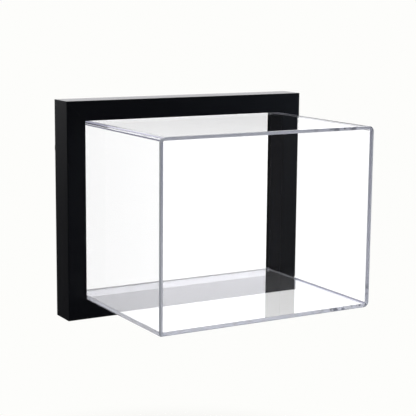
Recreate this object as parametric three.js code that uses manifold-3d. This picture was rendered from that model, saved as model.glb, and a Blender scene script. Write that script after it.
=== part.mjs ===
// A wall display case for a miniature helmet: a mitred black wooden frame, a clear acrylic cover that
// passes through it from behind, a clear back panel, four turn buttons and the hanging hardware.
// Millimetres. +X is the viewer's right and +Z is up. The case faces -Y and the wall is the plane y = 0.

import * as THREE from 'three';
import { mergeVertices } from 'three/addons/utils/BufferGeometryUtils.js';
import Module from 'manifold-3d';

const wasm = await Module();
wasm.setup();

// Frame: four mitred rails of one moulding, with a rabbet behind the sight edge
const frameWidth = 252;
const frameHeight = 203;
const frameDepth = 28;
const railFace = 18.4;
const edgeChamfer = 0.6;
const rabbetWidth = 5;
const mitreGap = 0.3;

// Acrylic: one sheet thickness for the cover and the back panel
const sheet = 3;
const bendRadius = 5;
const coverReach = 145;
const plateCorner = 1.5;

// Clearances
const coverClearance = 0.3;
const plateClearance = 0.4;
const seatGap = 0.2;
const bondGap = 0.05;
const shankClearance = 0.25;
const nailClearance = 0.3;

// Corner nails: bent steel strips driven across each mitre from behind
const nailLeg = 6;
const nailThickness = 0.8;
const nailHeight = 9;
const nailInset = 4.4;
const nailRecess = 0.3;

// Pan head screws, all alike
const shankRadius = 1.5;
const shankLength = 11;
const tipLength = 2.5;
const headRadius = 3;
const headHeight = 1.5;
const headCrownShare = 0.72;
const headRimShare = 0.45;

// Turn buttons
const buttonThickness = 1.5;
const buttonRadius = 4;
const buttonTipRadius = 2.6;
const buttonReach = 14.5;
const fingerRibHeight = 0.5;
const fingerRibWidth = 1.4;

// Strap hangers with a loose ring
const wireRadius = 0.9;
const wireClearance = 0.15;
const strapThickness = 0.8;
const strapWidth = 7;
const strapTail = 19;
const strapScrewDrop = 14;
const ringHalfWidth = 5.1;
const ringSide = 4.4;
const ringFillet = 1.5;
const ringButtGap = 0.3;
const hangerHeight = 60;

// Bumpers that hold the case off the wall
const bumperRadius = 5;
const bumperTopRadius = 4;
const bumperHeight = 4;
const bumperShoulder = 1;
const bumperInset = 24;

// Overrun of every cutter past the face that it opens
const overrun = 1;

// Facets of round forms
const bendSegments = 10;
const roundSegments = 20;
const wireSides = 10;
const ringSteps = 52;

// Planes and sizes that follow from the values above
const backY = -bumperHeight;
const frontY = backY - frameDepth;
const coverFrontY = frontY - coverReach;
const panelFrontY = backY - sheet;
const flangeBackY = panelFrontY - seatGap;
const flangeFrontY = flangeBackY - sheet;
const shoulderY = flangeFrontY - seatGap;
const backStrip = railFace - rabbetWidth;
const stripCentre = backStrip / 2;
const coverHalfWidth = frameWidth / 2 - railFace - coverClearance;
const coverHalfHeight = frameHeight / 2 - railFace - coverClearance;
const plateHalfWidth = frameWidth / 2 - backStrip - plateClearance;
const plateHalfHeight = frameHeight / 2 - backStrip - plateClearance;
const pivotX = frameWidth / 2 - stripCentre;
const pivotZ = frameHeight / 2 - stripCentre;
const bumperX = frameWidth / 2 - bumperInset;
const quarterTurn = Math.PI / 2;

// Finishes
const finishes = {
  blackLacquer: { color: 0x0d0d0f, roughness: 0.42, metalness: 0 },
  acrylic: { color: 0xf4f6f8, roughness: 0.05, metalness: 0, transparent: true, opacity: 0.3 },
  zincPlate: { color: 0xb9bcc0, roughness: 0.35, metalness: 1 },
  nickelPlate: { color: 0xcfcdc8, roughness: 0.25, metalness: 1 },
  blackRubber: { color: 0x1a1a1b, roughness: 0.85, metalness: 0 },
};

function piece(name, geometry, finish) {
  geometry.computeVertexNormals();
  const mesh = new THREE.Mesh(geometry, new THREE.MeshStandardMaterial(finish));
  mesh.name = name;
  return mesh;
}

// Closed geometry to a solid that can be cut, and back

function toSolid(geometry) {
  const bare = geometry.clone();
  bare.deleteAttribute('normal');
  bare.deleteAttribute('uv');
  const merged = mergeVertices(bare);
  return new wasm.Manifold(new wasm.Mesh({
    numProp: 3,
    vertProperties: new Float32Array(merged.attributes.position.array),
    triVerts: new Uint32Array(merged.index.array),
  }));
}

function toGeometry(solid) {
  const mesh = solid.getMesh();
  const geometry = new THREE.BufferGeometry();
  geometry.setAttribute('position', new THREE.BufferAttribute(new Float32Array(mesh.vertProperties), mesh.numProp));
  geometry.setIndex(new THREE.BufferAttribute(new Uint32Array(mesh.triVerts), 1));
  return geometry;
}

// A shape drawn as seen from the front, x across and y up, given a thickness forward of the plane y = back

function plate(shape, thickness, back, segments = bendSegments) {
  const geometry = new THREE.ExtrudeGeometry(shape, {
    depth: thickness,
    bevelEnabled: false,
    curveSegments: segments,
  });
  geometry.rotateX(quarterTurn);
  geometry.translate(0, back, 0);
  return geometry;
}

function roundedRectangle(halfWidth, halfHeight, radius) {
  const shape = new THREE.Shape();
  shape.absarc(halfWidth - radius, radius - halfHeight, radius, -quarterTurn, 0);
  shape.absarc(halfWidth - radius, halfHeight - radius, radius, 0, quarterTurn);
  shape.absarc(radius - halfWidth, halfHeight - radius, radius, quarterTurn, 2 * quarterTurn);
  shape.absarc(radius - halfWidth, radius - halfHeight, radius, 2 * quarterTurn, 3 * quarterTurn);
  shape.closePath();
  return shape;
}

// The cover's outline: bent at three corners, and square at the lower left, where the sheet's ends are bonded

function bentOutline(halfWidth, halfHeight, radius) {
  const shape = new THREE.Shape();
  shape.moveTo(-halfWidth, -halfHeight);
  shape.lineTo(halfWidth - radius, -halfHeight);
  shape.absarc(halfWidth - radius, radius - halfHeight, radius, -quarterTurn, 0);
  shape.absarc(halfWidth - radius, halfHeight - radius, radius, 0, quarterTurn);
  shape.absarc(radius - halfWidth, halfHeight - radius, radius, quarterTurn, 2 * quarterTurn);
  shape.closePath();
  return shape;
}

// Frame rails: the moulding's section, drawn inward from the outer edge and back from the front face,
// is extruded along the rail, and each end's points slide inward by their distance from the outer edge,
// which makes the mitre. Local X runs along the rail and local Z points out of the frame.

function mitredRail(length) {
  const rabbetDepth = backY - shoulderY;
  const section = new THREE.Shape([
    new THREE.Vector2(0, edgeChamfer),
    new THREE.Vector2(edgeChamfer, 0),
    new THREE.Vector2(railFace - edgeChamfer, 0),
    new THREE.Vector2(railFace, edgeChamfer),
    new THREE.Vector2(railFace, frameDepth - rabbetDepth),
    new THREE.Vector2(backStrip, frameDepth - rabbetDepth),
    new THREE.Vector2(backStrip, frameDepth),
    new THREE.Vector2(0, frameDepth),
  ]);
  const geometry = new THREE.ExtrudeGeometry(section, { depth: length, bevelEnabled: false });
  const position = geometry.attributes.position;
  for (let i = 0; i < position.count; i += 1) {
    const slide = position.getX(i) + mitreGap / 2;
    const along = position.getZ(i);
    position.setZ(i, along < length / 2 ? along + slide : along - slide);
  }
  const inward = new THREE.Vector3(0, 0, -1);
  const backward = new THREE.Vector3(0, 1, 0);
  const lengthwise = new THREE.Vector3(1, 0, 0);
  geometry.applyMatrix4(new THREE.Matrix4().makeBasis(inward, backward, lengthwise));
  geometry.translate(-length / 2, frontY, 0);
  return toSolid(geometry);
}

function screwHole(along) {
  const depth = shankLength + shankClearance + overrun;
  const hole = new THREE.CylinderGeometry(
    shankRadius + shankClearance,
    shankRadius + shankClearance,
    depth,
    roundSegments,
  );
  hole.translate(along, backY + overrun - depth / 2, -stripCentre);
  return toSolid(hole);
}

// The corner nail's plan is an L whose corner lies on the mitre, with one leg in each rail

function nailPlan(leg, thickness) {
  const half = thickness / 2;
  return new THREE.Shape([
    new THREE.Vector2(-half, half),
    new THREE.Vector2(leg, half),
    new THREE.Vector2(leg, -half),
    new THREE.Vector2(half, -half),
    new THREE.Vector2(half, -leg),
    new THREE.Vector2(-half, -leg),
  ]);
}

function nailSlot(railLength, end) {
  const depth = nailHeight + nailRecess + nailClearance + overrun;
  const plan = nailPlan(nailLeg + nailClearance, nailThickness + 2 * nailClearance);
  const slot = plate(plan, depth, backY + overrun);
  if (end > 0) slot.rotateY(quarterTurn);
  slot.translate(end * (railLength / 2 - nailInset), 0, -nailInset);
  return toSolid(slot);
}

function makeRail(name, length, screwPlaces, turn, x, z) {
  let rail = mitredRail(length);
  for (const along of screwPlaces) rail = rail.subtract(screwHole(along));
  for (const end of [-1, 1]) rail = rail.subtract(nailSlot(length, end));
  const mesh = piece(name, toGeometry(rail), finishes.blackLacquer);
  mesh.rotation.y = turn;
  mesh.position.set(x, 0, z);
  return mesh;
}

function makeFrame() {
  const frame = new THREE.Group();
  const hangerScrewZ = hangerHeight - strapScrewDrop;
  frame.add(makeRail('top_rail', frameWidth, [0], 0, 0, frameHeight / 2));
  frame.add(makeRail('bottom_rail', frameWidth, [0], 2 * quarterTurn, 0, -frameHeight / 2));
  frame.add(makeRail('left_rail', frameHeight, [0, hangerScrewZ], -quarterTurn, -frameWidth / 2, 0));
  frame.add(makeRail('right_rail', frameHeight, [0, -hangerScrewZ], quarterTurn, frameWidth / 2, 0));
  const corners = [
    ['corner_nail_top_left', -1, 1, 0],
    ['corner_nail_top_right', 1, 1, quarterTurn],
    ['corner_nail_bottom_right', 1, -1, 2 * quarterTurn],
    ['corner_nail_bottom_left', -1, -1, -quarterTurn],
  ];
  for (const [name, sideX, sideZ, turn] of corners) {
    const nail = piece(name, plate(nailPlan(nailLeg, nailThickness), nailHeight, 0), finishes.zincPlate);
    nail.rotation.y = turn;
    nail.position.set(
      sideX * (frameWidth / 2 - nailInset),
      backY - nailRecess,
      sideZ * (frameHeight / 2 - nailInset),
    );
    frame.add(nail);
  }
  return frame;
}

// Cover: one sheet bent round three corners, a front bonded to its front edges and a flange to its rear.
// The sheet starts at the floor's left end, which is bonded to the foot of the left wall.

function makeCoverWrap() {
  const w = coverHalfWidth;
  const h = coverHalfHeight;
  const inner = bendRadius - sheet;
  const floorEnd = sheet + bondGap - w;
  const section = new THREE.Shape();
  section.moveTo(floorEnd, -h);
  section.lineTo(w - bendRadius, -h);
  section.absarc(w - bendRadius, bendRadius - h, bendRadius, -quarterTurn, 0);
  section.absarc(w - bendRadius, h - bendRadius, bendRadius, 0, quarterTurn);
  section.absarc(bendRadius - w, h - bendRadius, bendRadius, quarterTurn, 2 * quarterTurn);
  section.lineTo(-w, -h);
  section.lineTo(sheet - w, -h);
  section.absarc(bendRadius - w, h - bendRadius, inner, 2 * quarterTurn, quarterTurn, true);
  section.absarc(w - bendRadius, h - bendRadius, inner, quarterTurn, 0, true);
  section.absarc(w - bendRadius, bendRadius - h, inner, 0, -quarterTurn, true);
  section.lineTo(floorEnd, sheet - h);
  section.closePath();
  const rear = flangeFrontY - bondGap;
  const front = coverFrontY + sheet + bondGap;
  return piece('cover_wrap', plate(section, rear - front, rear), finishes.acrylic);
}

function makeCover() {
  const cover = new THREE.Group();
  cover.add(makeCoverWrap());
  const face = bentOutline(coverHalfWidth, coverHalfHeight, bendRadius);
  cover.add(piece('cover_front', plate(face, sheet, coverFrontY + sheet), finishes.acrylic));
  const ring = roundedRectangle(plateHalfWidth, plateHalfHeight, plateCorner);
  ring.holes.push(bentOutline(coverHalfWidth - sheet, coverHalfHeight - sheet, bendRadius - sheet));
  cover.add(piece('cover_flange', plate(ring, sheet, flangeBackY), finishes.acrylic));
  return cover;
}

function makeBackPanel() {
  const outline = roundedRectangle(plateHalfWidth, plateHalfHeight, plateCorner);
  return piece('back_panel', plate(outline, sheet, backY), finishes.acrylic);
}

// Screw along Y with its head towards the wall, standing on the plane y = 0

function screwGeometry() {
  const profile = [
    new THREE.Vector2(0, -shankLength),
    new THREE.Vector2(shankRadius, tipLength - shankLength),
    new THREE.Vector2(shankRadius, 0),
    new THREE.Vector2(headRadius, 0),
    new THREE.Vector2(headRadius, headHeight * headRimShare),
    new THREE.Vector2(headRadius * headCrownShare, headHeight),
    new THREE.Vector2(0, headHeight),
  ];
  return new THREE.LatheGeometry(profile, roundSegments);
}

function makeScrew(name, x, seatY, z) {
  const screw = piece(name, screwGeometry(), finishes.zincPlate);
  screw.position.set(x, seatY, z);
  return screw;
}

// Turn button: two round ends joined by their tangents, a finger rib along it and the pivot at the origin

function turnButtonGeometry() {
  const tip = buttonReach - buttonTipRadius;
  const tangent = Math.acos((buttonRadius - buttonTipRadius) / tip);
  const outline = new THREE.Shape();
  outline.absarc(0, 0, buttonRadius, tangent, 4 * quarterTurn - tangent);
  outline.absarc(tip, 0, buttonTipRadius, -tangent, tangent);
  outline.closePath();
  const hole = new THREE.Path();
  hole.absarc(0, 0, shankRadius + shankClearance, 0, 4 * quarterTurn);
  outline.holes.push(hole);
  const body = toSolid(plate(outline, buttonThickness, buttonThickness));
  const rib = new THREE.BoxGeometry(
    tip - headRadius - shankClearance,
    fingerRibHeight + buttonThickness / 2,
    fingerRibWidth,
  );
  rib.translate(
    (tip + headRadius + shankClearance) / 2,
    buttonThickness + (fingerRibHeight - buttonThickness / 2) / 2,
    0,
  );
  return toGeometry(body.add(toSolid(rib)));
}

function makeTurnButton(name, x, z, turn) {
  const button = piece(name, turnButtonGeometry(), finishes.zincPlate);
  button.rotation.y = turn;
  button.position.set(x, backY + seatGap, z);
  return button;
}

function makeFastenings() {
  const group = new THREE.Group();
  const headSeat = backY + seatGap + buttonThickness + seatGap;
  const places = [
    ['top', 0, pivotZ, 0],
    ['bottom', 0, -pivotZ, 0],
    ['left', -pivotX, 0, quarterTurn],
    ['right', pivotX, 0, quarterTurn],
  ];
  for (const [side, x, z, turn] of places) {
    group.add(makeTurnButton(`turn_button_${side}`, x, z, turn));
    group.add(makeScrew(`button_screw_${side}`, x, headSeat, z));
  }
  return group;
}

// Hanger strap: a strip rolled round the ring's bar, with a round tail and one screw hole.
// Its origin is on the frame's back, under the bar's axis.

const rollInner = wireRadius + wireClearance;
const rollOuter = rollInner + strapThickness;

function strapGeometry() {
  const side = new THREE.Shape();
  side.moveTo(-strapTail, 0);
  side.lineTo(0, 0);
  side.absarc(0, rollOuter, rollOuter, -quarterTurn, 2 * quarterTurn);
  side.absarc(0, rollOuter, rollInner, 2 * quarterTurn, -quarterTurn, true);
  side.lineTo(-strapTail, strapThickness);
  side.closePath();
  const strip = new THREE.ExtrudeGeometry(side, {
    depth: strapWidth,
    bevelEnabled: false,
    curveSegments: roundSegments,
  });
  const up = new THREE.Vector3(0, 0, 1);
  const backward = new THREE.Vector3(0, 1, 0);
  const across = new THREE.Vector3(-1, 0, 0);
  strip.applyMatrix4(new THREE.Matrix4().makeBasis(up, backward, across));
  strip.translate(strapWidth / 2, 0, 0);
  const plan = new THREE.Shape();
  const half = strapWidth / 2;
  plan.absarc(0, half - strapTail, half, -2 * quarterTurn, 0);
  plan.lineTo(half + overrun, half - strapTail);
  plan.lineTo(half + overrun, rollOuter + overrun);
  plan.lineTo(-half - overrun, rollOuter + overrun);
  plan.lineTo(-half - overrun, half - strapTail);
  plan.closePath();
  const planDepth = 2 * rollOuter + 2 * overrun;
  const hole = new THREE.CylinderGeometry(
    shankRadius + shankClearance,
    shankRadius + shankClearance,
    strapThickness + 2 * overrun,
    roundSegments,
  );
  hole.translate(0, strapThickness / 2, -strapScrewDrop);
  const trimmed = toSolid(strip).intersect(toSolid(plate(plan, planDepth, planDepth - overrun)));
  return toGeometry(trimmed.subtract(toSolid(hole)));
}

// Hanger ring: round wire bent to a D, with its two ends meeting inside the strap's roll.
// Its origin is the middle of the straight bar, and it hangs down when nothing holds it up.

function ringGeometry() {
  const centreLine = new THREE.Path();
  centreLine.moveTo(ringButtGap / 2, 0);
  centreLine.lineTo(ringHalfWidth - ringFillet, 0);
  centreLine.absarc(ringHalfWidth - ringFillet, ringFillet, ringFillet, -quarterTurn, 0);
  centreLine.absarc(0, ringSide, ringHalfWidth, 0, 2 * quarterTurn);
  centreLine.absarc(ringFillet - ringHalfWidth, ringFillet, ringFillet, 2 * quarterTurn, 3 * quarterTurn);
  centreLine.lineTo(-ringButtGap / 2, 0);
  const points = centreLine.getSpacedPoints(ringSteps).map((p) => new THREE.Vector3(p.x, 0, p.y));
  const wire = new THREE.Shape();
  wire.absarc(0, 0, wireRadius, 0, 4 * quarterTurn);
  return new THREE.ExtrudeGeometry(wire, {
    steps: ringSteps,
    curveSegments: wireSides / 2,
    bevelEnabled: false,
    extrudePath: new THREE.CatmullRomCurve3(points),
  });
}

function makeHangers() {
  const group = new THREE.Group();
  const strapSeat = backY + bondGap;
  for (const [side, x] of [['left', -pivotX], ['right', pivotX]]) {
    const strap = piece(`hanger_strap_${side}`, strapGeometry(), finishes.nickelPlate);
    strap.position.set(x, strapSeat, hangerHeight);
    const ring = piece(`hanger_ring_${side}`, ringGeometry(), finishes.nickelPlate);
    ring.rotation.x = 2 * quarterTurn;
    ring.position.set(x, strapSeat + rollOuter, hangerHeight);
    const screwSeat = strapSeat + strapThickness + bondGap;
    group.add(strap, ring);
    group.add(makeScrew(`hanger_screw_${side}`, x, screwSeat, hangerHeight - strapScrewDrop));
  }
  return group;
}

// Bumper: a low rubber button stuck to the bottom rail, its flat rear face on the wall plane

function makeBumpers() {
  const group = new THREE.Group();
  const height = bumperHeight - bondGap;
  const profile = [
    new THREE.Vector2(0, -height),
    new THREE.Vector2(bumperRadius, -height),
    new THREE.Vector2(bumperRadius, -bumperShoulder),
    new THREE.Vector2(bumperTopRadius, 0),
    new THREE.Vector2(0, 0),
  ];
  for (const [side, x] of [['left', -bumperX], ['right', bumperX]]) {
    const bumper = piece(`bumper_${side}`, new THREE.LatheGeometry(profile, roundSegments), finishes.blackRubber);
    bumper.position.set(x, 0, -pivotZ);
    group.add(bumper);
  }
  return group;
}

const displayCase = new THREE.Group();
displayCase.add(makeFrame());
displayCase.add(makeCover());
displayCase.add(makeBackPanel());
displayCase.add(makeFastenings());
displayCase.add(makeHangers());
displayCase.add(makeBumpers());

export default displayCase;
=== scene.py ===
# A wall display case for a miniature helmet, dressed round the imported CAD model.
# Metres. +X is the viewer's right, +Z is up, the case faces -Y and the wall is y = 0.

import math
import bmesh
import bpy
from mathutils import Matrix, Vector


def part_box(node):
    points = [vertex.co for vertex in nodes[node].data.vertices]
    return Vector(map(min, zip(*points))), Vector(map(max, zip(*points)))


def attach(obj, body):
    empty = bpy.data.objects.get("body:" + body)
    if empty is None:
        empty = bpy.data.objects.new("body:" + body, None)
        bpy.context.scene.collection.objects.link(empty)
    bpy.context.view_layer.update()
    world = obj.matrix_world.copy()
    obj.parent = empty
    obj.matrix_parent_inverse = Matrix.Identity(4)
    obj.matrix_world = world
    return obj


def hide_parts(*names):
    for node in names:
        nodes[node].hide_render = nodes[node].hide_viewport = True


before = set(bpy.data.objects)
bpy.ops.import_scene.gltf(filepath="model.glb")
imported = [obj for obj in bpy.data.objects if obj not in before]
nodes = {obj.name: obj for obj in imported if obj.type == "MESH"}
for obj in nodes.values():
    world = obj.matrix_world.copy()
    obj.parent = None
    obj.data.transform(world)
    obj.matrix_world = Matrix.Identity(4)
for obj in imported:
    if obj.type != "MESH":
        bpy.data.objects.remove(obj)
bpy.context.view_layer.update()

mm = 0.001
aligned = 0.9                     # cosine from which a face or an edge counts as pointing a way
sharpAngle = math.radians(30)     # edges that turn more are eased
smoothAngle = math.radians(32)    # edges that turn more are shaded sharp
flatAngle = math.radians(1)       # faces that turn less are joined
weldDistance = 0.001 * mm


# Selecting and shaping, used by every piece

def only(piece):
    bpy.ops.object.select_all(action="DESELECT")
    piece.select_set(True)
    bpy.context.view_layer.objects.active = piece


def startShaping(piece):
    only(piece)
    bpy.ops.object.mode_set(mode="EDIT")
    bpy.ops.mesh.select_all(action="DESELECT")


def stopShaping():
    bpy.ops.object.mode_set(mode="OBJECT")


def selectFaces(piece, wanted):
    bpy.ops.mesh.select_mode(type="FACE")
    bpy.ops.mesh.select_all(action="DESELECT")
    mesh = bmesh.from_edit_mesh(piece.data)
    for face in mesh.faces:
        if wanted(face.calc_center_median(), face.normal):
            face.select_set(True)
    bmesh.update_edit_mesh(piece.data)


def selectEdges(piece, wanted):
    bpy.ops.mesh.select_mode(type="EDGE")
    bpy.ops.mesh.select_all(action="DESELECT")
    mesh = bmesh.from_edit_mesh(piece.data)
    for edge in mesh.edges:
        start, end = (vertex.co for vertex in edge.verts)
        if wanted((start + end) / 2, (end - start).normalized()):
            edge.select_set(True)
    bmesh.update_edit_mesh(piece.data)


def addBlock(low, high):
    low, high = Vector(low), Vector(high)
    bpy.ops.mesh.primitive_cube_add(size=1, location=(low + high) / 2)
    block = bpy.context.object
    block.scale = high - low
    bpy.ops.object.transform_apply(location=True, rotation=True, scale=True)
    return block


def addRod(radius, low, high, sides):
    bpy.ops.mesh.primitive_cylinder_add(
        vertices=sides, radius=radius, depth=high - low,
        location=(0, (low + high) / 2, 0), rotation=(math.pi / 2, 0, 0),
    )
    rod = bpy.context.object
    bpy.ops.object.transform_apply(location=True, rotation=True, scale=True)
    return rod


def step(width):   # the same way along X and Z
    return Vector((width, 0, width))


def applyModifier(piece, kind, **settings):
    modifier = piece.modifiers.new(kind.lower(), kind)
    for name, value in settings.items():
        setattr(modifier, name, value)
    only(piece)
    bpy.ops.object.modifier_apply(modifier=modifier.name)


def combine(piece, other, operation):
    applyModifier(piece, "BOOLEAN", operation=operation, object=other, solver="EXACT")
    bpy.data.objects.remove(other)


def easeEdges(piece, width, steps=2):
    applyModifier(
        piece, "BEVEL", width=width, segments=steps, limit_method="ANGLE",
        angle_limit=sharpAngle, use_clamp_overlap=True,
    )


def settle(piece, name, body, replaced):
    only(piece)
    bpy.ops.object.transform_apply(location=True, rotation=True, scale=True)
    bpy.ops.object.shade_smooth_by_angle(angle=smoothAngle)
    applyModifier(piece, "WEIGHTED_NORMAL", mode="FACE_AREA", weight=100, keep_sharp=True)
    piece.name = name
    piece.data.name = name
    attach(piece, body)
    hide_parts(*replaced)


def copyTo(pattern, place, turn=0):
    piece = pattern.copy()
    piece.data = pattern.data.copy()
    bpy.context.scene.collection.objects.link(piece)
    piece.data.transform(Matrix.Translation(place) @ Matrix.Rotation(turn, 4, "Y"))
    return piece


def coat(piece, material):
    piece.data.materials.clear()
    piece.data.materials.append(material)


# Camera: solved from the photo's straight edges, looking along +Y, turned to the right and down

cameraSettings = {
    "place": (-0.5655, -1.0409, 0.1926),
    "turnRight": 30.18,
    "lookDown": 9.69,
    "roll": 0.5,
    "focalPixels": 1221.0,
    "imagePixels": 416,
    "sensor": 36.0,
    "clipStart": 0.01,
}


def makeCamera():
    s = cameraSettings
    data = bpy.data.cameras.new("camera")
    data.sensor_width = s["sensor"]
    data.lens = s["sensor"] * s["focalPixels"] / s["imagePixels"]
    data.clip_start = s["clipStart"]
    camera = bpy.data.objects.new("camera", data)
    bpy.context.scene.collection.objects.link(camera)
    turn = Matrix.Rotation(-math.radians(s["turnRight"]), 4, "Z")
    tilt = Matrix.Rotation(math.radians(90 - s["lookDown"]), 4, "X")
    roll = Matrix.Rotation(math.radians(s["roll"]), 4, "Z")
    camera.matrix_world = Matrix.Translation(s["place"]) @ turn @ tilt @ roll
    bpy.context.scene.camera = camera
    bpy.context.scene.view_settings.view_transform = "Standard"


makeCamera()
print("camera ready")


# Materials: colours are sRGB hex values, which linear() turns to what the shaders take

def linear(code):
    shares = [int(code[i:i + 2], 16) / 255 for i in (0, 2, 4)]
    return [s / 12.92 if s <= 0.04045 else ((s + 0.055) / 1.055) ** 2.4 for s in shares] + [1.0]


def addNode(tree, kind, inputs=None, **settings):
    node = tree.nodes.new(kind)
    for name, value in settings.items():
        setattr(node, name, value)
    for name, value in (inputs or {}).items():
        if isinstance(value, bpy.types.NodeSocket):
            tree.links.new(value, node.inputs[name])
        else:
            node.inputs[name].default_value = value
    return node


def startMaterial(name):
    material = bpy.data.materials.new(name)
    material.use_nodes = True
    material.node_tree.nodes.clear()
    return material, material.node_tree


# Satin black lacquer sprayed on a wooden moulding: a nearly black face, a grey sheen at a low angle,
# slight orange peel and the faint ghost of the grain under the film. Inside the opening, where the cover
# slides, it is rubbed to a gloss, which mirrors the white backdrop at a low angle.

lacquerSettings = {
    "colour": "020308",
    "grainColour": "05060b",
    "roughness": (0.28, 0.36),
    "ior": 1.5,
    "specular": 0.28,
    "rubbedRoughness": (0.04, 0.09),
    "rubbedSpecular": 0.5,
    "rubbedCoat": 1.0,
    "grainWidth": 0.7,         # mm across the grain
    "grainLength": 24.0,
    "grainDepth": 0.02,
    "grainStrength": 0.5,
    "pores": (0.35, 0.6),      # levels of the grain between which a pore opens
    "peelSize": 1.6,           # mm between the bumps of the orange peel
    "peelDepth": 0.006,
    "peelStrength": 0.6,
}


def makeLacquer(name, along, rubbed=False):
    s = lacquerSettings
    rough, specular, coating = (
        (s["rubbedRoughness"], s["rubbedSpecular"], s["rubbedCoat"]) if rubbed else
        (s["roughness"], s["specular"], 0.0)
    )
    material, tree = startMaterial(name)
    place = addNode(tree, "ShaderNodeTexCoord").outputs["Object"]
    across = 1 / (s["grainWidth"] * mm)
    lengthwise = 1 / (s["grainLength"] * mm)
    scale = [lengthwise if axis == along else across for axis in "XYZ"]
    stretched = addNode(tree, "ShaderNodeMapping", {"Vector": place, "Scale": scale}).outputs["Vector"]
    grain = addNode(tree, "ShaderNodeTexNoise", {
        "Vector": stretched, "Scale": 1, "Detail": 3, "Roughness": 0.6,
    }).outputs["Fac"]
    pores = addNode(tree, "ShaderNodeMapRange", {
        "Value": grain, "From Min": s["pores"][0], "From Max": s["pores"][1],
    }, interpolation_type="SMOOTHSTEP").outputs["Result"]
    colour = addNode(tree, "ShaderNodeMix", {
        "Factor": pores, "A": linear(s["colour"]), "B": linear(s["grainColour"]),
    }, data_type="RGBA").outputs["Result"]
    peel = addNode(tree, "ShaderNodeTexNoise", {
        "Vector": place, "Scale": 1 / (s["peelSize"] * mm), "Detail": 1,
    }).outputs["Fac"]
    sheen = addNode(tree, "ShaderNodeMapRange", {
        "Value": grain, "To Min": rough[0], "To Max": rough[1],
    }).outputs["Result"]
    grainBump = addNode(tree, "ShaderNodeBump", {
        "Height": pores, "Distance": s["grainDepth"] * mm, "Strength": s["grainStrength"],
    }).outputs["Normal"]
    surface = addNode(tree, "ShaderNodeBump", {
        "Height": peel, "Distance": s["peelDepth"] * mm, "Strength": s["peelStrength"],
        "Normal": grainBump,
    }).outputs["Normal"]
    shader = addNode(tree, "ShaderNodeBsdfPrincipled", {
        "Base Color": colour, "Roughness": sheen, "Normal": surface,
        "Specular IOR Level": specular, "IOR": s["ior"], "Coat Weight": coating,
    })
    addNode(tree, "ShaderNodeOutputMaterial", {"Surface": shader.outputs["BSDF"]})
    return material


# Clear cast acrylic, cool by a trace. The faces are glossy with the slight waviness of cast sheet. The top
# mirrors next to nothing, the floor carries a little dust, the bends keep a haze from the heated wire, and
# the cut edges are machine polished, which leaves fine cutter marks, so that they show as cool grey strips.

acrylicSettings = {
    "ior": 1.49,
    "absorbed": "c2c2d2",      # what is left of white at great depth
    "density": 2.5,
    "lampLight": 0.95,         # share of the lamps' light that each face lets through
    "depth": 0.01,             # mm, height of the waves or marks
    "finishes": {              # pattern is mm between waves or marks
        "clear": {"colour": "fdfdfe", "roughness": (0.0, 0.012), "pattern": 60.0},
        "top": {"colour": "fdfdfe", "roughness": (0.0, 0.012), "pattern": 60.0, "ior": 1.03},
        "floor": {"colour": "fdfdfe", "roughness": (0.0, 0.02), "pattern": 60.0, "through": 0.976},
        "bend": {"colour": "eeeff6", "roughness": (0.0, 0.04), "pattern": 4.0, "through": 0.88},
        "cutEdge": {"colour": "c8ccd6", "roughness": (0.10, 0.22), "pattern": 0.5, "through": 0.4},
    },
}


def makeAcrylic(kind):
    s = acrylicSettings
    finish = s["finishes"][kind]
    material, tree = startMaterial(f"{kind}CastAcrylic")
    place = addNode(tree, "ShaderNodeTexCoord").outputs["Object"]
    pattern = addNode(tree, "ShaderNodeTexNoise", {
        "Vector": place, "Scale": 1 / (finish["pattern"] * mm), "Detail": 1,
    }).outputs["Fac"]
    gloss = addNode(tree, "ShaderNodeMapRange", {
        "Value": pattern, "To Min": finish["roughness"][0], "To Max": finish["roughness"][1],
    }).outputs["Result"]
    surface = addNode(tree, "ShaderNodeBump", {
        "Height": pattern, "Distance": s["depth"] * mm,
    }).outputs["Normal"]
    fromLamp = addNode(tree, "ShaderNodeLightPath").outputs["Is Shadow Ray"]
    opaque = addNode(tree, "ShaderNodeMath", {
        0: fromLamp, 1: -s["lampLight"], 2: 1.0,
    }, operation="MULTIPLY_ADD").outputs["Value"]
    shader = addNode(tree, "ShaderNodeBsdfPrincipled", {
        "Base Color": linear(finish["colour"]), "Roughness": gloss, "IOR": finish.get("ior", s["ior"]),
        "Transmission Weight": finish.get("through", 1.0), "Normal": surface, "Alpha": opaque,
    })
    inside = addNode(tree, "ShaderNodeVolumeAbsorption", {
        "Color": linear(s["absorbed"]), "Density": s["density"],
    })
    addNode(tree, "ShaderNodeOutputMaterial", {
        "Surface": shader.outputs["BSDF"], "Volume": inside.outputs["Volume"],
    })
    return material


# Solvent cement: a thin cloudy film, cool grey, with clearer patches where it ran out. Its colour also
# paints the light and shade of the acrylic's edges: painted light makes the level joints whiter than the
# upright ones, painted shade makes it greyer high on the right, painted light makes it paler low on the
# left, and towards the lower right it has darker blotches.

bondAndEdgeLightSettings = {
    "upright": ("bec1ce", "e4e6f0"),
    # the level joints, made whiter than the upright ones by painted light
    "level": ("e6e8f4", "fdfdff"),
    # painted shade, high on the right
    "greyer": "aeb1bd",
    # painted light, low on the left
    "paler": "fafbff",
    "blotch": "8a8d9a",
    "blotchSize": 4.5,
    "blotchLevels": (0.48, 0.6),
    "patchSize": 9.0,
    "patchLevels": (0.35, 0.65),
    "seen": (0.85, 1.0),
    "roughness": 0.45,
    "masks": {                 # mm from the cover's middle, between which each mask rises
        "level": ("up or down", 78.5, 80.5),
        "right": ("X", 40.0, 75.0),
        "left": ("X", -40.0, -75.0),
        # masks of the painted shade high on the right and of the painted light low on the left
        "high": ("Z", -45.0, 65.0),
        "low": ("Z", 50.0, -30.0),
        "corner": ("X", 94.0, 84.0),    # where the blotches end on the top edge
        "foot": ("Z", -52.0, -70.0),    # where they begin on the right edge
    },
}


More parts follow.
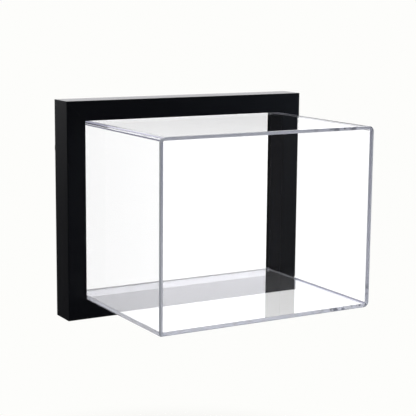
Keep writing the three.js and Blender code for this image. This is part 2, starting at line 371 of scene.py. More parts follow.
def makeBondFilmAndEdgeLight():
    s = bondAndEdgeLightSettings
    material, tree = startMaterial("cloudyBondFilm")
    place = addNode(tree, "ShaderNodeTexCoord").outputs["Object"]
    patches = addNode(tree, "ShaderNodeTexNoise", {
        "Vector": place, "Scale": 1 / (s["patchSize"] * mm), "Detail": 3,
    }).outputs["Fac"]
    spots = addNode(tree, "ShaderNodeTexNoise", {
        "Vector": place, "Scale": 1 / (s["blotchSize"] * mm), "Detail": 1,
    }).outputs["Fac"]
    parts = addNode(tree, "ShaderNodeSeparateXYZ", {"Vector": place}).outputs
    offLevel = addNode(tree, "ShaderNodeMath", {
        0: parts["Z"],
    }, operation="ABSOLUTE").outputs["Value"]
    ways = {"X": parts["X"], "Z": parts["Z"], "up or down": offLevel}
    masks = {name: addNode(tree, "ShaderNodeMapRange", {
        "Value": ways[way], "From Min": start * mm, "From Max": end * mm,
    }).outputs["Result"] for name, (way, start, end) in s["masks"].items()}
    masks["blotch"] = addNode(tree, "ShaderNodeMapRange", {
        "Value": spots, "From Min": s["blotchLevels"][0], "From Max": s["blotchLevels"][1],
    }).outputs["Result"]
    for name, first, second, operation in (
        ("highRight", "high", "right", "MULTIPLY"),
        ("lowLeft", "low", "left", "MULTIPLY"),
        ("levelPart", "level", "corner", "MULTIPLY"),
        ("edges", "foot", "levelPart", "MAXIMUM"),
        ("rightEdges", "edges", "right", "MULTIPLY"),
        ("blotched", "blotch", "rightEdges", "MULTIPLY"),
    ):
        masks[name] = addNode(tree, "ShaderNodeMath", {
            0: masks[first], 1: masks[second],
        }, operation=operation).outputs["Value"]
    colour, level = (addNode(tree, "ShaderNodeMix", {
        "Factor": patches, "A": linear(s[way][0]), "B": linear(s[way][1]),
    }, data_type="RGBA").outputs["Result"] for way in ("upright", "level"))
    # the colour takes painted shade high on the right, painted light low on the left and on the level
    # joints, and the blotches
    for mask, other in (
        ("highRight", linear(s["greyer"])), ("lowLeft", linear(s["paler"])),
        ("level", level), ("blotched", linear(s["blotch"])),
    ):
        colour = addNode(tree, "ShaderNodeMix", {
            "Factor": masks[mask], "A": colour, "B": other,
        }, data_type="RGBA").outputs["Result"]
    seen = addNode(tree, "ShaderNodeMapRange", {
        "Value": patches, "From Min": s["patchLevels"][0], "From Max": s["patchLevels"][1],
        "To Min": s["seen"][1], "To Max": s["seen"][0],
    }).outputs["Result"]
    # a diffuse film whose colour paints the light and shade that the cover's edges catch
    shader = addNode(tree, "ShaderNodeBsdfPrincipled", {
        "Base Color": colour, "Alpha": seen, "Roughness": s["roughness"],
    })
    addNode(tree, "ShaderNodeOutputMaterial", {"Surface": shader.outputs["BSDF"]})
    return material


# Zinc plate on stamped steel: bright, a little bluish and cloudy, with fine tumbling scratches.
# Nickel plate on wire and strip: warmer, smoother and brighter. Clouds and scratches are in mm, drawn
# coarser than they are so that they show.

plateSettings = {
    "zinc": {"colours": ("a9adb3", "c8cbce"), "roughness": (0.26, 0.42), "cloud": 2.5, "scratch": 0.96},
    "nickel": {"colours": ("bdb8b0", "d6d1c8"), "roughness": (0.12, 0.24), "cloud": 3.5, "scratch": 1.6},
}
scratchSettings = {"stretch": (1, 1, 6), "slant": (0.3, 0.5, 0.9), "depth": 0.01, "strength": 0.35}


def makePlating(name, s):
    marks = scratchSettings
    material, tree = startMaterial(name)
    place = addNode(tree, "ShaderNodeTexCoord").outputs["Object"]
    cloud = addNode(tree, "ShaderNodeTexNoise", {
        "Vector": place, "Scale": 1 / (s["cloud"] * mm), "Detail": 4, "Roughness": 0.6,
    }).outputs["Fac"]
    slanted = addNode(tree, "ShaderNodeMapping", {
        "Vector": place, "Scale": marks["stretch"], "Rotation": marks["slant"],
    }).outputs["Vector"]
    scratch = addNode(tree, "ShaderNodeTexNoise", {
        "Vector": slanted, "Scale": 1 / (s["scratch"] * mm), "Detail": 2,
    }).outputs["Fac"]
    colour = addNode(tree, "ShaderNodeMix", {
        "Factor": cloud, "A": linear(s["colours"][0]), "B": linear(s["colours"][1]),
    }, data_type="RGBA").outputs["Result"]
    gloss = addNode(tree, "ShaderNodeMapRange", {
        "Value": cloud, "To Min": s["roughness"][0], "To Max": s["roughness"][1],
    }).outputs["Result"]
    surface = addNode(tree, "ShaderNodeBump", {
        "Height": scratch, "Distance": marks["depth"] * mm, "Strength": marks["strength"],
    }).outputs["Normal"]
    shader = addNode(tree, "ShaderNodeBsdfPrincipled", {
        "Base Color": colour, "Roughness": gloss, "Metallic": 1.0, "Normal": surface,
    })
    addNode(tree, "ShaderNodeOutputMaterial", {"Surface": shader.outputs["BSDF"]})
    return material


# Moulded black rubber: matt charcoal with a fine spark-eroded grain and a little bloom

rubberSettings = {
    "colours": ("161617", "242425"),
    "roughness": (0.72, 0.88),
    "grain": 0.5,
    "grainDepth": 0.05,
    "grainStrength": 0.4,
    "bloom": 3.0,
}


def makeRubber():
    s = rubberSettings
    material, tree = startMaterial("mouldedBlackRubber")
    place = addNode(tree, "ShaderNodeTexCoord").outputs["Object"]
    grain = addNode(tree, "ShaderNodeTexNoise", {
        "Vector": place, "Scale": 1 / (s["grain"] * mm), "Detail": 2,
    }).outputs["Fac"]
    bloom = addNode(tree, "ShaderNodeTexNoise", {
        "Vector": place, "Scale": 1 / (s["bloom"] * mm), "Detail": 3,
    }).outputs["Fac"]
    colour = addNode(tree, "ShaderNodeMix", {
        "Factor": bloom, "A": linear(s["colours"][0]), "B": linear(s["colours"][1]),
    }, data_type="RGBA").outputs["Result"]
    matt = addNode(tree, "ShaderNodeMapRange", {
        "Value": bloom, "To Min": s["roughness"][0], "To Max": s["roughness"][1],
    }).outputs["Result"]
    surface = addNode(tree, "ShaderNodeBump", {
        "Height": grain, "Distance": s["grainDepth"] * mm, "Strength": s["grainStrength"],
    }).outputs["Normal"]
    shader = addNode(tree, "ShaderNodeBsdfPrincipled", {
        "Base Color": colour, "Roughness": matt, "Normal": surface,
    })
    addNode(tree, "ShaderNodeOutputMaterial", {"Surface": shader.outputs["BSDF"]})
    return material


# Black felt: dead matt, with a grey bloom of fibre ends over it

feltSettings = {
    "colours": ("0b0b0c", "1d1d1f"),
    "roughness": 0.95,
    "specular": 0.2,
    "sheen": 0.3,
    "sheenRoughness": 0.5,
    "fibre": 0.25,
    "fibreDepth": 0.08,
    "fibreStrength": 0.8,
    "clump": 2.2,
}


def makeFelt():
    s = feltSettings
    material, tree = startMaterial("pressedBlackFelt")
    place = addNode(tree, "ShaderNodeTexCoord").outputs["Object"]
    fibre = addNode(tree, "ShaderNodeTexNoise", {
        "Vector": place, "Scale": 1 / (s["fibre"] * mm), "Detail": 3,
    }).outputs["Fac"]
    clump = addNode(tree, "ShaderNodeTexNoise", {
        "Vector": place, "Scale": 1 / (s["clump"] * mm), "Detail": 2,
    }).outputs["Fac"]
    colour = addNode(tree, "ShaderNodeMix", {
        "Factor": clump, "A": linear(s["colours"][0]), "B": linear(s["colours"][1]),
    }, data_type="RGBA").outputs["Result"]
    surface = addNode(tree, "ShaderNodeBump", {
        "Height": fibre, "Distance": s["fibreDepth"] * mm, "Strength": s["fibreStrength"],
    }).outputs["Normal"]
    shader = addNode(tree, "ShaderNodeBsdfPrincipled", {
        "Base Color": colour, "Roughness": s["roughness"], "Normal": surface,
        "Specular IOR Level": s["specular"],
        "Sheen Weight": s["sheen"], "Sheen Roughness": s["sheenRoughness"],
    })
    addNode(tree, "ShaderNodeOutputMaterial", {"Surface": shader.outputs["BSDF"]})
    return material


lacquers = {   # by the axis that the rail runs along
    axis: (
        makeLacquer(f"satinBlackLacquer{way}", "XYZ"[axis]),
        makeLacquer(f"rubbedBlackLacquer{way}", "XYZ"[axis], True),
    ) for axis, way in ((0, "Across"), (2, "Upright"))
}
acrylic = {kind: makeAcrylic(kind) for kind in acrylicSettings["finishes"]}
bondFilmAndEdgeLight = makeBondFilmAndEdgeLight()
zincPlate = makePlating("zincPlatedSteel", plateSettings["zinc"])
nickelPlate = makePlating("nickelPlatedSteel", plateSettings["nickel"])
blackRubber = makeRubber()
blackFelt = makeFelt()
print("materials ready")


# Frame rails: the solids' own shape, with every edge eased as a lacquered moulding's is

railSettings = {
    "edgeEase": 0.18 * mm,
    "edgeSteps": 2,
    "mitreGap": 0.3 * mm,      # between the solids
    "mitreLeft": 0.02 * mm,    # what the lacquer leaves of it
    "mitreSlack": 0.01,        # by which a mitre's normal may be off 45 degrees
    "rubbedFacing": 0.99,      # cosine, so that the eased edges stay satin
    "rails": {"top": 0, "bottom": 0, "left": 2, "right": 2},   # side and the axis it runs along
}


def onMitre(normal):
    slack = railSettings["mitreSlack"]
    return abs(normal.y) < slack and abs(abs(normal.x) - abs(normal.z)) < slack


def closeMitres(rail, axis):
    for end in (-1, 1):
        startShaping(rail)
        selectFaces(rail, lambda middle, normal: onMitre(normal) and middle[axis] * end > 0)
        shift = [0, 0, 0]
        shift[axis] = end * (railSettings["mitreGap"] - railSettings["mitreLeft"]) / 2
        bpy.ops.transform.translate(value=shift)
        stopShaping()


def easeRail(rail):
    startShaping(rail)
    bpy.ops.mesh.select_mode(type="EDGE")
    bpy.ops.mesh.edges_select_sharp(sharpness=sharpAngle)
    mesh = bmesh.from_edit_mesh(rail.data)
    for edge in mesh.edges:
        if any(onMitre(face.normal) for face in edge.link_faces):
            edge.select_set(False)
    bmesh.update_edit_mesh(rail.data)
    bpy.ops.mesh.bevel(
        offset=railSettings["edgeEase"], segments=railSettings["edgeSteps"], affect="EDGES",
    )
    stopShaping()


def makeRails():
    for side, axis in railSettings["rails"].items():
        node = f"{side}_rail"
        rail = copyTo(nodes[node], (0, 0, 0))
        startShaping(rail)
        bpy.ops.mesh.select_all(action="SELECT")
        bpy.ops.mesh.remove_doubles(threshold=weldDistance)
        bpy.ops.mesh.dissolve_limited(angle_limit=flatAngle)
        stopShaping()
        closeMitres(rail, axis)
        easeRail(rail)
        coat(rail, lacquers[axis][0])
        rail.data.materials.append(lacquers[axis][1])
        across = 2 - axis
        inwards = -1 if side in ("top", "right") else 1
        lip = min(abs(vertex.co[across]) for vertex in rail.data.vertices)
        for face in rail.data.polygons:
            facing = face.normal[across] * inwards > railSettings["rubbedFacing"]
            face.material_index = 1 if facing and abs(face.center[across]) < lip + mm else 0
        settle(rail, f"{side}Rail", "frame", [node])


makeRails()
print("rails ready")


# Acrylic cover: a front sheet, and the bent walls with the rear flange, bonded into one clear piece

coverSettings = {
    "sheet": 3.0 * mm,
    "bendRadius": 5.0 * mm,
    "bendInside": 1.2 * mm,    # the inside of a heated bend stays tight
    "bendSteps": 12,
    "flangeCorner": 1.5 * mm,
    "edgeEase": 0.15 * mm,
    "joint": 0.1 * mm,         # slot beside the floor's left end
    "bondThickness": 0.03 * mm,
    "bondInset": 0.15 * mm,    # the cement stops this far inside a joint
    "cornerSteps": 4,
    "flatFacing": 0.9999,      # cosine that tells a sheet from the first step of a bend
}


def bendCorners(block, low, high, radius):
    corners = [(high.x, low.z), (high.x, high.z), (low.x, high.z)]
    startShaping(block)
    selectEdges(block, lambda middle, along: abs(along.y) > aligned and any(
        abs(middle.x - x) < radius / 2 and abs(middle.z - z) < radius / 2 for x, z in corners))
    bpy.ops.mesh.bevel(offset=radius, segments=coverSettings["bendSteps"], affect="EDGES")
    stopShaping()


def addPlate(low, high, radius):
    block = addBlock(low, high)
    startShaping(block)
    selectEdges(block, lambda middle, along: abs(along.y) > aligned)
    bpy.ops.mesh.bevel(offset=radius, segments=coverSettings["cornerSteps"], affect="EDGES")
    stopShaping()
    return block


def finishAcrylic(piece, finishOf):
    piece.data.materials.clear()
    kinds = list(acrylic)
    for kind in kinds:
        piece.data.materials.append(acrylic[kind])
    for face in piece.data.polygons:
        face.material_index = kinds.index(finishOf(face.center, face.normal))


def makeCoverFront():
    s = coverSettings
    low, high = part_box("cover_front")
    sheet = addBlock(low, high)
    bendCorners(sheet, low, high, s["bendRadius"])
    easeEdges(sheet, s["edgeEase"])
    finishAcrylic(sheet, lambda middle, normal: "clear" if abs(normal.y) > aligned else "cutEdge")
    settle(sheet, "coverFront", "cover", ["cover_front"])


def makeCoverWalls():
    s = coverSettings
    low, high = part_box("cover_wrap")
    flangeLow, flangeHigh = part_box("cover_flange")
    rear = Vector((high.x, (flangeLow.y + flangeHigh.y) / 2, high.z))
    walls = addBlock(low, rear)
    bendCorners(walls, low, rear, s["bendRadius"])
    combine(walls, addPlate(flangeLow, flangeHigh, s["flangeCorner"]), "UNION")
    hollowLow, hollowHigh = low + step(s["sheet"]), high - step(s["sheet"])
    hollowLow.y, hollowHigh.y = low.y - s["sheet"], flangeHigh.y + s["sheet"]
    hollow = addBlock(hollowLow, hollowHigh)
    bendCorners(hollow, hollowLow, hollowHigh, s["bendInside"])
    combine(walls, hollow, "DIFFERENCE")
    easeEdges(walls, s["edgeEase"])
    combine(walls, addBlock(
        (hollowLow.x, hollowLow.y, low.z - s["sheet"]),
        (hollowLow.x + s["joint"], flangeLow.y, hollowLow.z + mm),
    ), "DIFFERENCE")

    def finishOf(middle, normal):
        if abs(normal.y) < aligned and middle.y > flangeLow.y:
            return "clear"
        if abs(normal.z) > s["flatFacing"]:
            return "top" if middle.z > 0 else "floor"
        if normal.y < -aligned and middle.y < low.y + mm:
            return "cutEdge"
        turned = max(abs(normal.x), abs(normal.y)) < s["flatFacing"]
        inside = abs(middle.x) < hollowHigh.x and abs(middle.z) < hollowHigh.z
        return "bend" if turned and inside else "clear"

    finishAcrylic(walls, finishOf)
    settle(walls, "coverWalls", "cover", ["cover_wrap", "cover_flange"])


# Cement in the joints: a cloudy film between the front sheet and the walls' front edges, and another
# where the floor's left end meets the foot of the left wall. Its colour paints the light and shade of the
# cover's edges, and so draws the cover's outline.

def makeBonds():
    s = coverSettings
    low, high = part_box("cover_front")
    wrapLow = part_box("cover_wrap")[0]
    gap = (wrapLow.y - high.y - s["bondThickness"]) / 2
    filmLow, filmHigh = low + step(s["bondInset"]), high - step(s["bondInset"])
    filmLow.y, filmHigh.y = high.y + gap, wrapLow.y - gap
    film = addBlock(filmLow, filmHigh)
    bendCorners(film, filmLow, filmHigh, s["bendRadius"] - s["bondInset"])
    inset = step(s["sheet"] - s["bondInset"])
    hollowLow, hollowHigh = low + inset, high - inset
    hollowLow.y, hollowHigh.y = filmLow.y - mm, filmHigh.y + mm
    hollow = addBlock(hollowLow, hollowHigh)
    bendCorners(hollow, hollowLow, hollowHigh, s["bendInside"] + s["bondInset"])
    combine(film, hollow, "DIFFERENCE")
    wall = wrapLow.x + s["sheet"] + (s["joint"] - s["bondThickness"]) / 2
    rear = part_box("cover_flange")[0].y - s["bondInset"]
    foot = addBlock(
        (wall, wrapLow.y + s["bondInset"], wrapLow.z + s["bondInset"]),
        (wall + s["bondThickness"], rear, wrapLow.z + s["sheet"] - s["bondInset"]),
    )
    only(film)
    foot.select_set(True)
    bpy.ops.object.join()
    coat(film, bondFilmAndEdgeLight)
    settle(film, "coverBonds", "cover", ["cover_wrap"])


def makeBackPanel():
    low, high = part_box("back_panel")
    panel = addPlate(low, high, coverSettings["flangeCorner"])
    easeEdges(panel, coverSettings["edgeEase"])
    finishAcrylic(panel, lambda middle, normal: "clear" if abs(normal.y) > aligned else "cutEdge")
    settle(panel, "backPanel", "back_panel", ["back_panel"])


# Dust seal: a felt ring stuck on the flange, close under the panel. It also keeps light out of the gap
# between the walls and the frame.

sealSettings = {"behindLip": 0.2 * mm, "fromEdge": 0.5 * mm, "clearance": 0.03 * mm}


def makeSeal():
    s = sealSettings
    flangeLow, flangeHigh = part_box("cover_flange")
    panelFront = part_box("back_panel")[0].y
    low, high = flangeLow + step(s["fromEdge"]), flangeHigh - step(s["fromEdge"])
    low.y, high.y = flangeHigh.y + s["clearance"], panelFront - s["clearance"]
    seal = addPlate(low, high, coverSettings["flangeCorner"] - s["fromEdge"])
    lip = Vector((-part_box("left_rail")[1].x, 0, -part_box("bottom_rail")[1].z))
    opening = lip + step(s["behindLip"])
    combine(seal, addPlate(
        (-opening.x, low.y - mm, -opening.z), (opening.x, high.y + mm, opening.z), s["fromEdge"],
    ), "DIFFERENCE")
    coat(seal, blackFelt)
    settle(seal, "dustSeal", "cover", [])


makeCoverFront()
makeCoverWalls()
makeBonds()
makeSeal()
makeBackPanel()
print("acrylic ready")


# Pan head screw with a cross recess, seat at the origin and head towards +Y

screwSettings = {
    "headRadius": 3.0 * mm,
    "headHeight": 1.5 * mm,
    "headRound": 0.8 * mm,
    "shankRadius": 1.5 * mm,
    "shankLength": 11.0 * mm,
    "tipLength": 2.5 * mm,
    "recessSpan": 3.2 * mm,
    "recessWidth": 0.75 * mm,
    "recessDepth": 1.0 * mm,
    "recessFloor": 0.45,       # share of the recess's span left at its floor
    "tipWidth": 0.08,          # share of the shank's
    "edgeEase": 0.05 * mm,
    "headSteps": 6,
    "sides": 40,
}


def makeScrewPattern():
    s = screwSettings
    screw = addRod(s["headRadius"], 0, s["headHeight"], s["sides"])
    startShaping(screw)
    selectEdges(screw, lambda middle, along: middle.y > s["headHeight"] - s["edgeEase"])
    bpy.ops.mesh.bevel(offset=s["headRound"], segments=s["headSteps"], affect="EDGES")
    selectFaces(screw, lambda middle, normal: normal.y < -aligned)
    bpy.ops.mesh.inset(thickness=s["headRadius"] - s["shankRadius"])
    shank = s["shankLength"] - s["tipLength"]
    bpy.ops.mesh.extrude_region_move(TRANSFORM_OT_translate={"value": (0, -shank, 0)})
    bpy.ops.mesh.extrude_region_move(TRANSFORM_OT_translate={"value": (0, -s["tipLength"], 0)})
    bpy.ops.transform.resize(
        value=(s["tipWidth"], 1, s["tipWidth"]), center_override=(0, -s["shankLength"], 0),
    )
    stopShaping()
    length, width = s["recessSpan"] / 2, s["recessWidth"] / 2
    bottom, top = s["headHeight"] - s["recessDepth"], s["headHeight"] + s["recessDepth"]
    for x, z, taper in (
        (length, width, (s["recessFloor"], 1, 1)), (width, length, (1, 1, s["recessFloor"])),
    ):
        slot = addBlock((-x, bottom, -z), (x, top, z))
        startShaping(slot)
        selectFaces(slot, lambda middle, normal: normal.y < -aligned)
        bpy.ops.transform.resize(value=taper, center_override=(0, bottom, 0))
        stopShaping()
        combine(screw, slot, "DIFFERENCE")
    easeEdges(screw, s["edgeEase"], 1)
    coat(screw, zincPlate)
    return screw


def placeScrews(pattern):
    for node in [n for n in nodes if "_screw_" in n]:
        low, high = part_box(node)
        seat = (low + high) / 2
        seat.y = high.y - screwSettings["headHeight"]
        words = node.split("_")
        name = words[0] + "".join(word.capitalize() for word in words[1:])
        screw = copyTo(pattern, seat)
        settle(screw, name, "frame", [node])
    bpy.data.objects.remove(pattern)


placeScrews(makeScrewPattern())
print("screws ready")


# Turn button: stamped zinc-plated strip with a pressed finger rib, pivot at the origin

buttonSettings = {
    "thickness": 1.5 * mm,
    "pivotRadius": 4.0 * mm,
    "tipRadius": 2.6 * mm,
    "reach": 14.5 * mm,
    "holeRadius": 1.75 * mm,
    "ribStart": 3.6 * mm,
    "ribWidth": 1.4 * mm,
    "ribHeight": 0.5 * mm,
    "ribEndRound": 0.49,       # share of its width
    "ribEndSteps": 6,
    "ribTopRound": 0.7,        # share of its height
    "ribTopSteps": 4,
    "edgeEase": 0.2 * mm,
    "edgeSteps": 3,
    "sides": 48,
}


def makeButtonPattern():
    s = buttonSettings
    tip = s["reach"] - s["tipRadius"]
    button = addRod(s["pivotRadius"], 0, s["thickness"], s["sides"])
    end = addRod(s["tipRadius"], 0, s["thickness"], s["sides"])
    end.data.transform(Matrix.Translation((tip, 0, 0)))
    only(button)
    end.select_set(True)
    bpy.ops.object.join()
    startShaping(button)
    bpy.ops.mesh.select_all(action="SELECT")
    bpy.ops.mesh.convex_hull()
    bpy.ops.mesh.select_all(action="SELECT")
    bpy.ops.mesh.dissolve_limited(angle_limit=flatAngle)
    stopShaping()
    hole = addRod(s["holeRadius"], -s["thickness"], 2 * s["thickness"], s["sides"])
    combine(button, hole, "DIFFERENCE")
    easeEdges(button, s["edgeEase"], s["edgeSteps"])
    rib = addBlock(
        (s["ribStart"], s["thickness"] / 2, -s["ribWidth"] / 2),
        (tip, s["thickness"] + s["ribHeight"], s["ribWidth"] / 2),
    )
    startShaping(rib)
    selectEdges(rib, lambda middle, along: abs(along.y) > aligned)
    endRound, topRound = s["ribWidth"] * s["ribEndRound"], s["ribHeight"] * s["ribTopRound"]
    bpy.ops.mesh.bevel(offset=endRound, segments=s["ribEndSteps"], affect="EDGES")
    selectFaces(rib, lambda middle, normal: normal.y > aligned)
    bpy.ops.mesh.bevel(offset=topRound, segments=s["ribTopSteps"], affect="EDGES")
    stopShaping()
    combine(button, rib, "UNION")
    coat(button, zincPlate)
    return button


def placeButtons(pattern):
    for side, turn in (("top", 0), ("bottom", 0), ("left", math.pi / 2), ("right", math.pi / 2)):
        node = f"turn_button_{side}"
        screwLow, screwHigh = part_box(f"button_screw_{side}")
        pivot = (screwLow + screwHigh) / 2
        pivot.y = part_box(node)[0].y
        button = copyTo(pattern, pivot, turn)
        settle(button, f"turnButton{side.capitalize()}", node, [node])
    bpy.data.objects.remove(pattern)


placeButtons(makeButtonPattern())
print("turn buttons ready")


# Hanger: a strip rolled round the bar of a loose wire ring, screwed to the side rail

hangerSettings = {
    "thickness": 0.8 * mm,
    "width": 7.0 * mm,
    "tail": 19.0 * mm,
    "tailRound": 0.99,         # share of half its width
    "tailSteps": 10,
    "rollInner": 1.05 * mm,
    "rollTurn": math.radians(270),
    "rollSteps": 27,
    "screwDrop": 14.0 * mm,
    "holeRadius": 1.75 * mm,
    "holeSides": 40,
    "edgeEase": 0.15 * mm,
    "wireRadius": 0.9 * mm,
    "ringHalfWidth": 5.1 * mm,
    "ringSide": 4.4 * mm,
    "ringFillet": 1.5 * mm,
    "buttGap": 0.3 * mm,
    "wireSides": 20,
    "cornerSteps": 6,
    "bowSteps": 28,
}


def makeStrapPattern():
    s = hangerSettings
    half = s["width"] / 2
    strap = addBlock((-half, 0, -s["tail"]), (half, s["thickness"], 0))
    startShaping(strap)
    selectEdges(strap, lambda middle, along: abs(along.y) > aligned and middle.z < -half)
    bpy.ops.mesh.bevel(offset=half * s["tailRound"], segments=s["tailSteps"], affect="EDGES")
    selectFaces(strap, lambda middle, normal: normal.z > aligned)
    rollCentre = (0, s["rollInner"] + s["thickness"], 0)
    bpy.ops.mesh.spin(steps=s["rollSteps"], angle=s["rollTurn"], center=rollCentre, axis=(1, 0, 0))
    stopShaping()
    hole = addRod(s["holeRadius"], -s["thickness"], 2 * s["thickness"], s["holeSides"])
    hole.data.transform(Matrix.Translation((0, 0, -s["screwDrop"])))
    combine(strap, hole, "DIFFERENCE")
    startShaping(strap)
    bpy.ops.mesh.select_all(action="SELECT")
    bpy.ops.mesh.normals_make_consistent(inside=False)
    stopShaping()
    easeEdges(strap, s["edgeEase"])
    coat(strap, nickelPlate)
    return strap


def makeRingPattern():
    s = hangerSettings
    start = s["buttGap"] / 2
    bend = s["ringHalfWidth"] - s["ringFillet"]
    straight = s["ringSide"] - s["ringFillet"]
    bpy.ops.mesh.primitive_circle_add(
        vertices=s["wireSides"], radius=s["wireRadius"], fill_type="NGON",
        location=(start, 0, 0), rotation=(0, math.pi / 2, 0),
    )
    ring = bpy.context.object
    bpy.ops.object.transform_apply(location=True, rotation=True, scale=True)
    bpy.ops.object.mode_set(mode="EDIT")
    bpy.ops.mesh.select_all(action="SELECT")

    def run(x, z):
        bpy.ops.mesh.extrude_region_move(TRANSFORM_OT_translate={"value": (x, 0, z)})

    def turn(x, z, degrees, steps):
        bpy.ops.mesh.spin(steps=steps, angle=math.radians(degrees), center=(x, 0, z), axis=(0, -1, 0))

    run(bend - start, 0)
    turn(bend, -s["ringFillet"], 90, s["cornerSteps"])
    run(0, -straight)
    turn(0, -s["ringSide"], 180, s["bowSteps"])
    run(0, straight)
    turn(-bend, -s["ringFillet"], 90, s["cornerSteps"])
    run(bend - start, 0)
    bpy.ops.mesh.select_all(action="SELECT")
    bpy.ops.mesh.remove_doubles(threshold=weldDistance)
    bpy.ops.mesh.normals_make_consistent(inside=False)
    stopShaping()
    coat(ring, nickelPlate)
    return ring


def placeHangers(strapPattern, ringPattern):
    roll = hangerSettings["rollInner"] + hangerSettings["thickness"]
    for side in ("left", "right"):
        strapNode, ringNode = f"hanger_strap_{side}", f"hanger_ring_{side}"
        low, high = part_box(strapNode)
        ringLow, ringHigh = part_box(ringNode)
        bar = Vector(((low.x + high.x) / 2, low.y, high.z - roll))
        strap = copyTo(strapPattern, bar)
        settle(strap, f"hangerStrap{side.capitalize()}", "frame", [strapNode])
        bar.y = (ringLow.y + ringHigh.y) / 2
        ring = copyTo(ringPattern, bar)
        settle(ring, f"hangerRing{side.capitalize()}", ringNode, [ringNode])
    bpy.data.objects.remove(strapPattern)
    bpy.data.objects.remove(ringPattern)


placeHangers(makeStrapPattern(), makeRingPattern())
print("hangers ready")


# Bumper: a moulded rubber button with a round shoulder

bumperSettings = {"shoulder": 1.0 * mm, "shoulderSteps": 6, "sides": 48}


def makeBumpers():
    s = bumperSettings
    for side in ("left", "right"):
        node = f"bumper_{side}"
        low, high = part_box(node)
        bumper = addRod((high.x - low.x) / 2, low.y, high.y, s["sides"])
        bumper.data.transform(Matrix.Translation(((low.x + high.x) / 2, 0, (low.z + high.z) / 2)))
        startShaping(bumper)
        selectEdges(bumper, lambda middle, along: middle.y > high.y - s["shoulder"] / 2)
        bpy.ops.mesh.bevel(offset=s["shoulder"], segments=s["shoulderSteps"], affect="EDGES")
        stopShaping()
        coat(bumper, blackRubber)
        settle(bumper, f"bumper{side.capitalize()}", "frame", [node])


makeBumpers()
for node in [n for n in nodes if n.startswith("corner_nail")]:
    coat(nodes[node], zincPlate)
print("bumpers and nails ready")


# Studio: a pale floor below the hung case, which doesn't hide it from below, a white backdrop on all
# sides and two soft lamps

studioSettings = {
    "white": "fdfdfb",
    "mirrored": "fafafd",         # the backdrop's white in a mirror, cooler
    "floorHeight": -0.36,
    "floorSize": 8.0,
    "floorColour": "dcdcda",
    "shadowZone": (0.25, 0.45),   # m from the middle, over which the floor fades to the backdrop
    "floorGlow": 0.25,
    "cameraLevel": 1.0,           # the backdrop as the camera sees it
    "diffuseLevel": 0.6,          # as light on the case
    "throughLevel": 1.4,          # overexposed, so that it still looks white through the sheets
    "mirroredLevel": 1.9,
    "mirroredFloor": 0.5,         # the floor as a mirrored ray sees it, below the backdrop's light
    "backdropWay": (0.5, 0.866, 0.0),   # its middle, behind the case as the camera sees it
    "backdropEdge": (0.56, 0.93),       # cosines of the angles over which it ends
    "ceilingEdge": (0.45, 0.7),         # height of a mirrored ray over which the dark ceiling begins
    "roomLevel": 0.04,
}


# What a ray finds in the studio: white for the camera, more than white through the sheets, less as light
# on the case, and in a mirror the cooler backdrop in a room that is otherwise dark, as where such a case
# is photographed

def studioLight(tree, direction, mirroredLevel):
    s = studioSettings
    path = addNode(tree, "ShaderNodeLightPath").outputs
    nearMiddle = addNode(tree, "ShaderNodeVectorMath", {
        0: direction, 1: s["backdropWay"],
    }, operation="DOT_PRODUCT").outputs["Value"]
    backdrop = addNode(tree, "ShaderNodeMapRange", {
        "Value": nearMiddle, "From Min": s["backdropEdge"][0], "From Max": s["backdropEdge"][1],
    }, interpolation_type="SMOOTHSTEP").outputs["Result"]
    upwards = addNode(tree, "ShaderNodeSeparateXYZ", {"Vector": direction}).outputs["Z"]
    belowCeiling = addNode(tree, "ShaderNodeMapRange", {
        "Value": upwards, "From Min": s["ceilingEdge"][0], "From Max": s["ceilingEdge"][1],
        "To Min": 1.0, "To Max": 0.0,
    }, interpolation_type="SMOOTHSTEP").outputs["Result"]
    share = addNode(tree, "ShaderNodeMath", {
        0: backdrop, 1: belowCeiling,
    }, operation="MULTIPLY").outputs["Value"]
    mirrored = addNode(tree, "ShaderNodeMix", {
        "Factor": share, "A": s["roomLevel"], "B": mirroredLevel,
    }).outputs["Result"]
    level = s["diffuseLevel"]
    for ray, found in (
        ("Is Camera Ray", s["cameraLevel"]), ("Is Transmission Ray", s["throughLevel"]),
        ("Glossy Depth", mirrored), ("Diffuse Depth", s["diffuseLevel"]),
    ):
        level = addNode(tree, "ShaderNodeMix", {
            "Factor": path[ray], "A": level, "B": found,
        }).outputs["Result"]
    colour = addNode(tree, "ShaderNodeMix", {
        "Factor": path["Glossy Depth"], "A": linear(s["white"]), "B": linear(s["mirrored"]),
    }, data_type="RGBA").outputs["Result"]
    return {"Color": colour, "Strength": level}


def makeWorld():
    world = bpy.data.worlds.new("studio")
    bpy.context.scene.world = world
    world.use_nodes = True
    tree = world.node_tree
    tree.nodes.clear()
    direction = addNode(tree, "ShaderNodeTexCoord").outputs["Generated"]
    studio = studioLight(tree, direction, studioSettings["mirroredLevel"])
    light = addNode(tree, "ShaderNodeBackground", studio)
    addNode(tree, "ShaderNodeOutputWorld", {"Surface": light.outputs["Background"]})


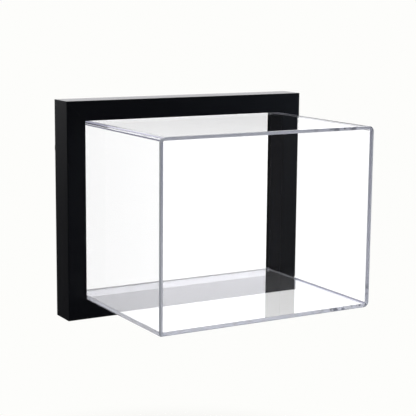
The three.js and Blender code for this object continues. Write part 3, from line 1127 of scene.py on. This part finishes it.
def makeFloor():
    s = studioSettings
    bpy.ops.mesh.primitive_plane_add(size=s["floorSize"], location=(0, 0, s["floorHeight"]))
    floor = bpy.context.object
    floor.name = "floor"
    material, tree = startMaterial("paleFloor")
    place = addNode(tree, "ShaderNodeTexCoord").outputs["Object"]
    away = addNode(tree, "ShaderNodeVectorMath", {0: place}, operation="LENGTH").outputs["Value"]
    direction = addNode(tree, "ShaderNodeVectorMath", {0: place}, operation="NORMALIZE").outputs["Vector"]
    fade = addNode(tree, "ShaderNodeMapRange", {
        "Value": away, "From Min": s["shadowZone"][0], "From Max": s["shadowZone"][1],
    }, interpolation_type="SMOOTHSTEP").outputs["Result"]
    lit = addNode(tree, "ShaderNodeBsdfDiffuse", {"Color": linear(s["floorColour"])}).outputs["BSDF"]
    glow = addNode(tree, "ShaderNodeEmission", {
        "Color": linear(s["white"]), "Strength": s["floorGlow"],
    }).outputs["Emission"]
    near = addNode(tree, "ShaderNodeAddShader", {0: lit, 1: glow}).outputs["Shader"]
    studio = studioLight(tree, direction, s["mirroredFloor"])
    far = addNode(tree, "ShaderNodeEmission", studio).outputs["Emission"]
    mixed = addNode(tree, "ShaderNodeMixShader", {0: fade, 1: near, 2: far}).outputs["Shader"]
    underside = addNode(tree, "ShaderNodeNewGeometry").outputs["Backfacing"]
    clear = addNode(tree, "ShaderNodeBsdfTransparent").outputs["BSDF"]
    oneSided = addNode(tree, "ShaderNodeMixShader", {0: underside, 1: mixed, 2: clear}).outputs["Shader"]
    addNode(tree, "ShaderNodeOutputMaterial", {"Surface": oneSided})
    coat(floor, material)


lampSettings = {
    "keyLamp": {"place": (-1.6, -1.3, 1.8), "size": 1.4, "power": 26, "colour": (1, 1, 1)},
    "fillLamp": {"place": (1.7, -1.56, 0.1), "size": 0.5, "power": 2.4, "colour": (0.7, 0.8, 1)},
}


def makeLamps():
    for name, s in lampSettings.items():
        data = bpy.data.lights.new(name, "AREA")
        data.size = s["size"]
        data.energy = s["power"]
        data.color = s["colour"]
        lamp = bpy.data.objects.new(name, data)
        lamp.location = s["place"]
        lamp.rotation_mode = "QUATERNION"
        lamp.rotation_quaternion = Vector(s["place"]).to_track_quat("Z", "Y")
        bpy.context.scene.collection.objects.link(lamp)


makeWorld()
makeFloor()
makeLamps()
print("studio ready")
